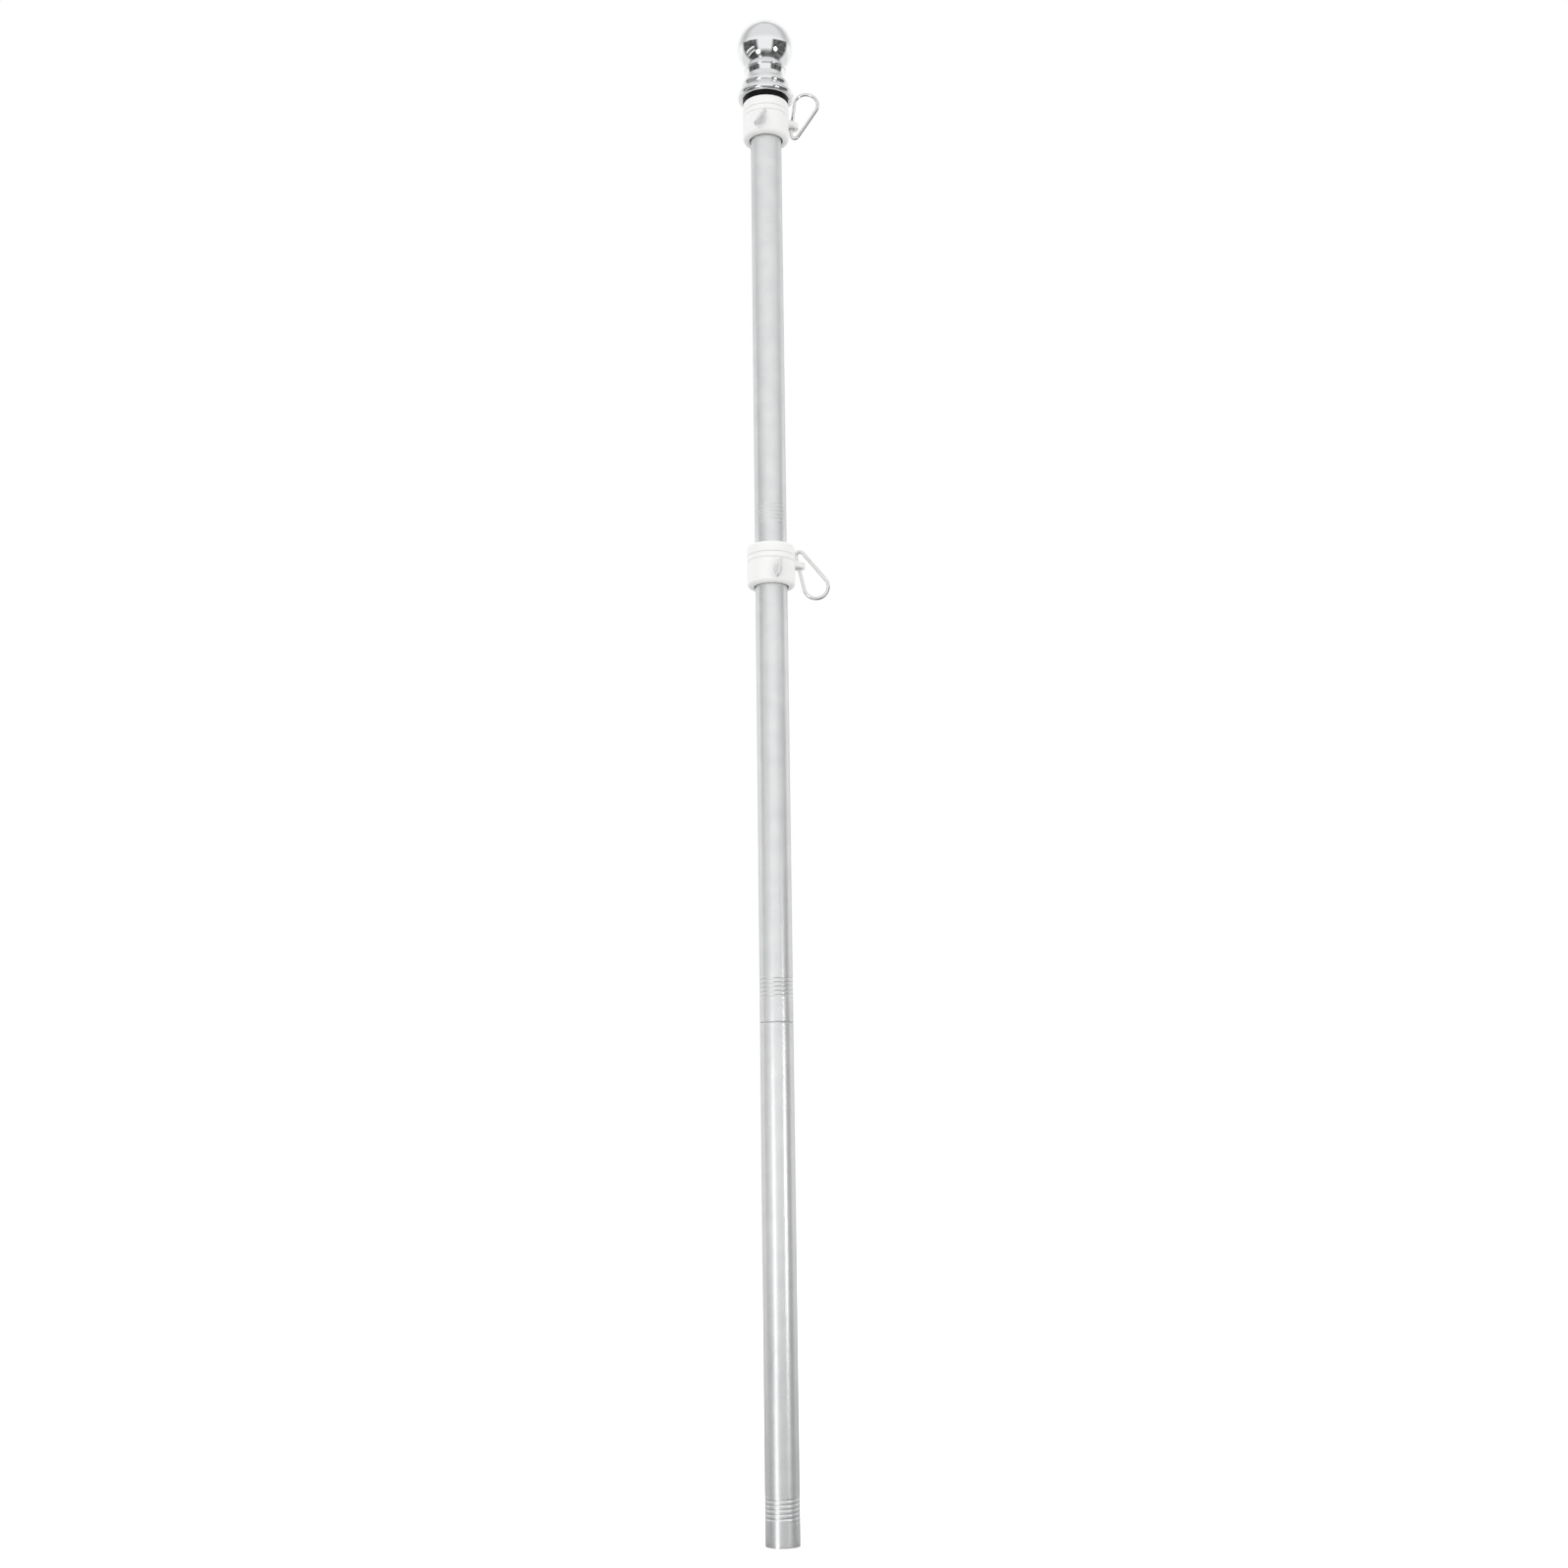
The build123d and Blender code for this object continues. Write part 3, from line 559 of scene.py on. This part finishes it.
def plated_steel(name, hex_code, metallic, roughness, size, depth):
    """Plated steel with a range of roughness over marks of the given size and depth in millimetres."""
    material, tree, shader, place = finish(name, hex_code, metallic, roughness[0])
    marks = add(tree, "ShaderNodeTexNoise", None,
                {"Vector": place, "Scale": 1 / (size * MM), "Detail": 4.0})
    matt = add(tree, "ShaderNodeMapRange", None,
               {"Value": marks, **NOISE_SPAN, "To Min": roughness[0], "To Max": roughness[1]})
    tree.links.new(matt.outputs[0], shader.inputs["Roughness"])
    dents = add(tree, "ShaderNodeBump", None, {"Height": marks, "Distance": depth * MM})
    tree.links.new(dents.outputs[0], shader.inputs["Normal"])
    return material


FINISHES["clip_steel"] = plated_steel(
    "nickel_plated_spring_wire", "F0F0EF", 1.0, WIRE_ROUGHNESS, WIRE_SCUFF, WIRE_SCUFF_DEPTH)
FINISHES["screw_steel"] = plated_steel(
    "zinc_plated_stamped_steel", "ECEDED", 0.7, ZINC_ROUGHNESS, ZINC_SPANGLE, ZINC_SPANGLE_DEPTH)
for node in NODES.values():
    for slot in node.material_slots:
        slot.material = FINISHES[slot.material.name]
print("finishes:", [made.name for made in FINISHES.values()])

# %% [markdown]
# # Tubes
# Each section is a drawn tube whose top is squeezed down to a neck. The neck screws into the section above,
# and both have a coarse thread rolled into the thin wall, like the one on a lamp socket. A lathe outline gives
# the blank: the outline's corners carry a radius, a height and how far the edge is rounded, because no pressed
# or cut edge is truly sharp and the rounding is what catches the light at a joint.

# %% Lathe helpers
ARC_STEPS = 4
SUPPORT = 0.12                      # mm, a row of points this far beside a rounding keeps its shading tight
ROW_GAP = 0.01                      # mm, no row is added this close to a point that is there


def rounded_outline(corners):
    """Closed outline of (radius, height) points from corners of (radius, height, rounding)."""
    outline = []
    for i, (radius, height, rounding) in enumerate(corners):
        corner = Vector((radius, height))
        if rounding == 0:
            outline.append(corner)
            continue
        before = (Vector(corners[i - 1][:2]) - corner).normalized()
        after = (Vector(corners[(i + 1) % len(corners)][:2]) - corner).normalized()
        half_angle = before.angle(after) / 2
        reach = rounding / tan(half_angle)
        centre = corner + (before + after).normalized() * rounding / sin(half_angle)
        start, end = corner + before * reach - centre, corner + after * reach - centre
        sweep = start.angle_signed(end)
        outline.append(corner + before * (reach + SUPPORT))
        for step in range(ARC_STEPS + 1):
            outline.append(centre + Matrix.Rotation(-sweep * step / ARC_STEPS, 2) @ start)
        outline.append(corner + after * (reach + SUPPORT))
    return outline


def with_rows(outline, heights):
    """The outline with a point added wherever a run of it passes one of the heights."""
    rows = []
    for i, point in enumerate(outline):
        following = outline[(i + 1) % len(outline)]
        rows.append(point)
        low, high = sorted((point.y, following.y))
        crossed = [h for h in heights if low + ROW_GAP < h < high - ROW_GAP]
        for height in sorted(crossed, reverse=following.y < point.y):
            rows.append(point.lerp(following, (height - point.y) / (following.y - point.y)))
    return rows


def turned(outline, around, closed):
    """Vertices and faces of an outline turned round Z. An open outline starts and ends on the axis."""
    vertices, rings = [], []
    for point in outline:
        if point.x < 1e-6:
            rings.append([len(vertices)] * around)
            vertices.append((0, 0, point.y))
            continue
        rings.append(list(range(len(vertices), len(vertices) + around)))
        for step in range(around):
            angle = 2 * pi * step / around
            vertices.append((point.x * cos(angle), point.x * sin(angle), point.y))
    faces = []
    for row in range(len(outline) if closed else len(outline) - 1):
        below, above = rings[row], rings[(row + 1) % len(outline)]
        for i in range(around):
            j = (i + 1) % around
            face = dict.fromkeys((below[i], below[j], above[j], above[i]))
            faces.append(tuple(face))
    return vertices, faces


test = rounded_outline([(2, 0, 0), (2, 3, 0.5), (1, 3, 0.5), (1, 0, 0)])
print("a rounded corner of four has", len(test), "points, radii", round(min(p.x for p in test), 2), "to",
      round(max(p.x for p in test), 2))

# %% [markdown]
# ## Rolled thread
# The thread is one helical groove pressed into the wall, so a rule describes it: go round the tube once, and
# the groove climbs by one pitch. Geometry Nodes apply that rule to the blank. For each point they count how
# many windings up it is, take the distance to the nearest winding, and press the point inwards by a smooth
# hollow. The hollow fades in and out over part of a turn, as the rolling tool leaves it. Heights repeat with
# the section's length, so the same tree rolls the neck's thread, which follows the groove of the section above.

# %% Geometry Nodes tree of the thread
THREAD_SIZES = {
    "First Turn": 17.0 * MM,        # above a section's lower end
    "Section Length": 378.0 * MM,
    "Pitch": 3.18 * MM,
    "Turns": 6.0,
    "Depth": 0.28 * MM,
    "Roll Width": 0.34,             # half width of the groove, as a share of the pitch
    "Run-out": 0.35,                # of a turn
}


def thread_tree():
    tree = bpy.data.node_groups.new("rolled_thread", "GeometryNodeTree")
    tree.interface.new_socket("Geometry", in_out="INPUT", socket_type="NodeSocketGeometry")
    for name in THREAD_SIZES:
        tree.interface.new_socket(name, in_out="INPUT", socket_type="NodeSocketFloat")
    tree.interface.new_socket("Finish", in_out="INPUT", socket_type="NodeSocketMaterial")
    tree.interface.new_socket("Geometry", in_out="OUTPUT", socket_type="NodeSocketGeometry")
    size = add(tree, "NodeGroupInput").outputs
    maths, vectors = "ShaderNodeMath", "ShaderNodeVectorMath"

    place = add(tree, "GeometryNodeInputPosition")
    parts = add(tree, "ShaderNodeSeparateXYZ", None, [place]).outputs
    behind = add(tree, maths, {"operation": "MULTIPLY"}, [parts["Y"], -1.0])
    angle = add(tree, maths, {"operation": "ARCTAN2"}, [parts["X"], behind])
    share = add(tree, maths, {"operation": "DIVIDE"}, [angle, 2 * pi])

    above = add(tree, maths, {"operation": "SUBTRACT"}, [parts["Z"], size["First Turn"]])
    half = add(tree, maths, {"operation": "MULTIPLY"}, [size["Section Length"], 0.5])
    less = add(tree, maths, {"operation": "MULTIPLY"}, [half, -1.0])
    height = add(tree, maths, {"operation": "WRAP"}, [above, half, less])
    climb = add(tree, maths, {"operation": "DIVIDE"}, [height, size["Pitch"]])
    winding = add(tree, maths, {"operation": "SUBTRACT"}, [climb, share])
    nearest = add(tree, maths, {"operation": "ROUND"}, [winding])
    along = add(tree, maths, {"operation": "ADD"}, [nearest, share])
    aside = add(tree, maths, {"operation": "SUBTRACT"}, [winding, nearest])
    aside = add(tree, maths, {"operation": "ABSOLUTE"}, [aside])

    hollow = add(tree, "ShaderNodeMapRange", {"interpolation_type": "SMOOTHSTEP"}, {
        "Value": aside, "From Min": 0.0, "From Max": size["Roll Width"], "To Min": 1.0, "To Max": 0.0})
    fade_in = add(tree, "ShaderNodeMapRange", {"interpolation_type": "SMOOTHSTEP"}, {
        "Value": along, "From Min": 0.0, "From Max": size["Run-out"], "To Min": 0.0, "To Max": 1.0})
    last = add(tree, maths, {"operation": "SUBTRACT"}, [size["Turns"], size["Run-out"]])
    fade_out = add(tree, "ShaderNodeMapRange", {"interpolation_type": "SMOOTHSTEP"}, {
        "Value": along, "From Min": last, "From Max": size["Turns"], "To Min": 1.0, "To Max": 0.0})
    press = add(tree, maths, {"operation": "MULTIPLY"}, [hollow, size["Depth"]])
    press = add(tree, maths, {"operation": "MULTIPLY"}, [press, fade_in])
    press = add(tree, maths, {"operation": "MULTIPLY"}, [press, fade_out])

    flat = add(tree, vectors, {"operation": "MULTIPLY"}, [place, (-1.0, -1.0, 0.0)])
    inwards = add(tree, vectors, {"operation": "NORMALIZE"}, [flat])
    offset = add(tree, vectors, {"operation": "SCALE"}, {"Vector": inwards, "Scale": press})
    moved = add(tree, "GeometryNodeSetPosition", None, {"Geometry": size["Geometry"], "Offset": offset})
    real = add(tree, "GeometryNodeRealizeInstances", None, [moved])
    painted = add(tree, "GeometryNodeSetMaterial", None, {"Geometry": real, "Material": size["Finish"]})
    add(tree, "NodeGroupOutput", None, [painted])
    return tree


def apply_tree(made, tree, values):
    """Gives the object the plain mesh that a Geometry Nodes tree with the named values makes of it."""
    modifier = made.modifiers.new("rule", "NODES")
    modifier.node_group = tree
    for socket in tree.interface.items_tree:
        if socket.in_out == "INPUT" and socket.name in values:
            modifier[socket.identifier] = values[socket.name]
    bpy.context.view_layer.update()
    evaluated = made.evaluated_get(bpy.context.evaluated_depsgraph_get())
    result = bpy.data.meshes.new_from_object(evaluated)
    made.modifiers.remove(modifier)
    made.data = result


THREAD = thread_tree()
print("the thread's tree has", len(THREAD.nodes), "nodes")

# %% [markdown]
# ## The three sections
# The wall is 1.2 mm thick, and the foot is open, so the bore shows from below. The blank gets its rows of
# points only where the thread is rolled: close together on the outer wall, which shows, and wider apart in the
# bore and on the neck.

# %% Tubes
TUBE_R, BORE_R = 12.7, 11.5         # mm
NECK_R, NECK_BORE_R = 11.35, 10.15  # mm
SWAGE = 3.0                         # mm, taper inside where the tube is drawn down to the neck
RIM = 0.85                          # rounding of the rims that meet at a joint
NECK_RIM, NECK_BORE_RIM, BORE_RIM = 0.4, 0.2, 0.25
AROUND = 120
ROW_STEP = 0.21                     # on the outer wall, where the thread is rolled
COARSE_STEP = 0.42                  # in the bore and on the neck
TUBE_SHARP = radians(40)            # edges that turn by more are shaded sharp


def tube_blank(bottom, neck_top):
    """Outline of one section, with rows where the thread will be rolled."""
    top = bottom + THREAD_SIZES["Section Length"] / MM
    corners = [(TUBE_R, bottom, RIM), (TUBE_R, top, RIM), (NECK_R, top, 0), (NECK_R, neck_top, NECK_RIM),
               (NECK_BORE_R, neck_top, NECK_BORE_RIM), (NECK_BORE_R, top, 0), (BORE_R, top - SWAGE, 0),
               (BORE_R, bottom, BORE_RIM)]
    outline = rounded_outline(corners)
    first = bottom + (THREAD_SIZES["First Turn"] - THREAD_SIZES["Pitch"]) / MM
    reach = (THREAD_SIZES["Turns"] + 2) * THREAD_SIZES["Pitch"] / MM
    fine = [first + ROW_STEP * i for i in range(ceil(reach / ROW_STEP))]
    coarse = [first + COARSE_STEP * i for i in range(ceil(reach / COARSE_STEP))]
    neck = [height + top - bottom for height in coarse]
    wall = [p for p in outline if p.x > (TUBE_R + BORE_R) / 2]
    inner = [p for p in outline if p.x <= (TUBE_R + BORE_R) / 2]
    return with_rows(wall, fine) + with_rows(inner, coarse + neck)


for name in ("tube_lower", "tube_middle", "tube_upper"):
    low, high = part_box(name)
    vertices, faces = turned(tube_blank(low.z / MM, high.z / MM), AROUND, closed=True)
    tube = new_object(name + "_drawn", vertices, faces, FINISHES["satin_tube"])
    apply_tree(tube, THREAD, {**THREAD_SIZES, "Finish": FINISHES["satin_tube"]})
    tube.data.set_sharp_from_angle(angle=TUBE_SHARP)
    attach(tube, "pole")
    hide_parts(name)
    print(tube.name, "from", round(low.z / MM, 1), "to", round(high.z / MM, 1), "mm,",
          len(tube.data.polygons), "faces")

# %% [markdown]
# # Thumb screws
# Each ring is clamped by a screw with a spade head: a steel shank, a small round shoulder, and a flat blade to
# turn it by. The blade is stamped from the same blank, so its rim is a little thicker than the coined field
# inside it. The blade is built as rings of one rounded rectangle, stepped outwards and in thickness.

# %% Thumb screws
SHANK_R, SHANK_START = 2.0, 13.05   # mm, the tip stands just clear of the tube
COLLAR_R = 19.0                     # the shoulder stands on the ring's collar
SHOULDER_R, SHOULDER_TOP, SHOULDER_ROUNDING = 3.6, 20.6, 0.5
SPADE_WIDTH, SPADE_START, SPADE_END = 16.0, 19.8, 26.3
SPADE_THICKNESS, SPADE_CORNER = 2.0, 3.1
SPADE_EDGE = 0.5                    # rounding of the blade's rim
SPADE_EDGE_TURNS = (0, 22, 45, 68, 90)
COINED = 0.22                       # how deep the field lies below the rim
COINED_STEP = (1.9, 1.35, 1.0, 0.75)            # mm in from the rim, from the field up to the rim's flat
COINED_LIP = 0.04                   # depth of the last step below the rim's flat
LEAST_CORNER = 0.4                  # of the innermost rounded rectangles
SHANK_CHAMFER = 0.4
SHANK_AROUND = 40
SEAT_STEP = 0.02                    # the shoulder's underside rises outwards by this much
SCREW_SHARP = radians(35)
SCREW_TURNS = {"lower": (-74.0, 12.0), "upper": (-101.0, 37.0)}     # degrees: round the pole, lean of the blade


def rounded_rectangle(width, height, corner, steps=8):
    """Points of a rounded rectangle round the origin, anticlockwise."""
    points = []
    for quarter, (sx, sy) in enumerate(((1, 1), (-1, 1), (-1, -1), (1, -1))):
        for step in range(steps + 1):
            angle = pi / 2 * (quarter + step / steps)
            points.append((sx * (width / 2 - corner) + corner * cos(angle),
                           sy * (height / 2 - corner) + corner * sin(angle)))
    return points


def spade():
    """Vertices and faces of the blade, thickness along Y."""
    height = SPADE_END - SPADE_START
    middle = (SPADE_END + SPADE_START) / 2
    half = SPADE_THICKNESS / 2
    depths = (COINED, COINED, COINED_LIP, 0.0)
    steps = [(inset, half - depth) for inset, depth in zip(COINED_STEP, depths)]
    for angle in map(radians, SPADE_EDGE_TURNS):
        steps.append((SPADE_EDGE * (1 - sin(angle)), half - SPADE_EDGE * (1 - cos(angle))))
    profile = steps + [(inset, -level) for inset, level in reversed(steps)]
    vertices, faces = [], []
    for inset, level in profile:
        corner = max(SPADE_CORNER - inset, LEAST_CORNER)
        ring = rounded_rectangle(SPADE_WIDTH - 2 * inset, height - 2 * inset, corner)
        vertices += [(x, level, middle + z) for x, z in ring]
    count = len(vertices) // len(profile)
    for row in range(len(profile) - 1):
        for i in range(count):
            j = (i + 1) % count
            a, b = row * count, (row + 1) * count
            faces.append((a + i, a + j, b + j, b + i))
    faces.append(tuple(reversed(range(count))))
    faces.append(tuple(range(len(vertices) - count, len(vertices))))
    return vertices, faces


def screw_body():
    """Vertices and faces of the shank and the shoulder, along Z."""
    outline = [Vector((0, SHANK_START)), Vector((SHANK_R - SHANK_CHAMFER, SHANK_START))]
    outline += [Vector((SHANK_R, SHANK_START + SHANK_CHAMFER)), Vector((SHANK_R, COLLAR_R - SEAT_STEP))]
    for end, turn_from in ((COLLAR_R + SHOULDER_ROUNDING, -90), (SHOULDER_TOP - SHOULDER_ROUNDING, 0)):
        for step in range(ARC_STEPS + 1):
            angle = radians(turn_from + 90 * step / ARC_STEPS)
            outline.append(Vector((SHOULDER_R - SHOULDER_ROUNDING + SHOULDER_ROUNDING * cos(angle),
                                   end + SHOULDER_ROUNDING * sin(angle))))
    outline.append(Vector((0, SHOULDER_TOP)))
    return turned(outline, SHANK_AROUND, closed=False)


for which, (angle, lean) in SCREW_TURNS.items():
    node = which + "_thumb_screw"
    low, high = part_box(node)
    vertices, faces = screw_body()
    blade_vertices, blade_faces = spade()
    faces += [tuple(i + len(vertices) for i in face) for face in blade_faces]
    vertices += blade_vertices
    screw = new_object(which + "_spade_screw", vertices, faces, FINISHES["screw_steel"])
    place = Matrix.Translation((0, 0, (low.z + high.z) / 2)) @ Matrix.Rotation(radians(angle), 4, "Z")
    place = place @ Matrix.Rotation(pi / 2, 4, "Y") @ Matrix.Rotation(radians(-lean), 4, "Z")
    screw.data.transform(place)
    mesh = bmesh.new()
    mesh.from_mesh(screw.data)
    bmesh.ops.recalc_face_normals(mesh, faces=mesh.faces)
    mesh.to_mesh(screw.data)
    mesh.free()
    screw.data.set_sharp_from_angle(angle=SCREW_SHARP)
    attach(screw, which + "_ring")
    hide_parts(node)
    own_low = Vector([min(v.co[i] for v in screw.data.vertices) for i in range(3)])
    own_high = Vector([max(v.co[i] for v in screw.data.vertices) for i in range(3)])
    print(screw.name, "differs from its CAD box by at most",
          round(max((own_low - low).length, (own_high - high).length) / MM, 2), "mm")

# %% [markdown]
# # Rivet heads
# The gate of a snap clip turns on a small pin that is peened over at both ends. A peened head is a low dome a
# little wider than the pin. Four of them sit on the two clips, so one dome is made by Geometry Nodes and put
# on every pin end, turned along the pin.

# %% Rivet heads
HEAD_SIZES = {"Head Radius": 0.95 * MM, "Head Height": 0.28 * MM}


def head_tree():
    tree = bpy.data.node_groups.new("peened_heads", "GeometryNodeTree")
    tree.interface.new_socket("Geometry", in_out="INPUT", socket_type="NodeSocketGeometry")
    for name in HEAD_SIZES:
        tree.interface.new_socket(name, in_out="INPUT", socket_type="NodeSocketFloat")
    tree.interface.new_socket("Finish", in_out="INPUT", socket_type="NodeSocketMaterial")
    tree.interface.new_socket("Geometry", in_out="OUTPUT", socket_type="NodeSocketGeometry")
    size = add(tree, "NodeGroupInput").outputs
    ball = add(tree, "GeometryNodeMeshUVSphere", None,
               {"Segments": 28, "Rings": 14, "Radius": size["Head Radius"]})
    flat = add(tree, "ShaderNodeMath", {"operation": "DIVIDE"}, [size["Head Height"], size["Head Radius"]])
    scale = add(tree, "ShaderNodeCombineXYZ", None, [1.0, 1.0, flat])
    smooth = add(tree, "GeometryNodeSetShadeSmooth", None, {"Geometry": ball, "Shade Smooth": True})
    squashed = add(tree, "GeometryNodeTransform", None, {"Geometry": smooth, "Scale": scale})
    axis = add(tree, "GeometryNodeInputNamedAttribute", {"data_type": "FLOAT_VECTOR"}, {"Name": "axis"})
    turned_to = add(tree, "FunctionNodeAlignRotationToVector", {"axis": "Z"}, {"Vector": axis})
    placed = add(tree, "GeometryNodeInstanceOnPoints", None,
                 {"Points": size["Geometry"], "Instance": squashed, "Rotation": turned_to})
    real = add(tree, "GeometryNodeRealizeInstances", None, [placed])
    painted = add(tree, "GeometryNodeSetMaterial", None, {"Geometry": real, "Material": size["Finish"]})
    add(tree, "NodeGroupOutput", None, [painted])
    return tree


HEADS = head_tree()
GATE_AXES = {joint["name"].split("_")[0]: Vector(joint["axis"]).normalized()
             for joint in frame["joints"] if joint["name"].endswith("gate_open")}
for which, axis in GATE_AXES.items():
    pin = NODES[which + "_clip_pin"]
    along = [axis.dot(v.co) for v in pin.data.vertices]
    low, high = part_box(which + "_clip_pin")
    centre = (low + high) / 2
    ends = [centre + axis * (end - axis.dot(centre)) for end in (min(along), max(along))]
    heads = new_object(which + "_rivet_heads", [end / MM for end in ends], [], FINISHES["clip_steel"])
    heads.data.attributes.new("axis", "FLOAT_VECTOR", "POINT").data.foreach_set("vector", list(axis) * 2)
    apply_tree(heads, HEADS, {**HEAD_SIZES, "Finish": FINISHES["clip_steel"]})
    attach(heads, which + "_clip")
    print(heads.name, "at", [tuple(round(c / MM, 1) for c in end) for end in ends])
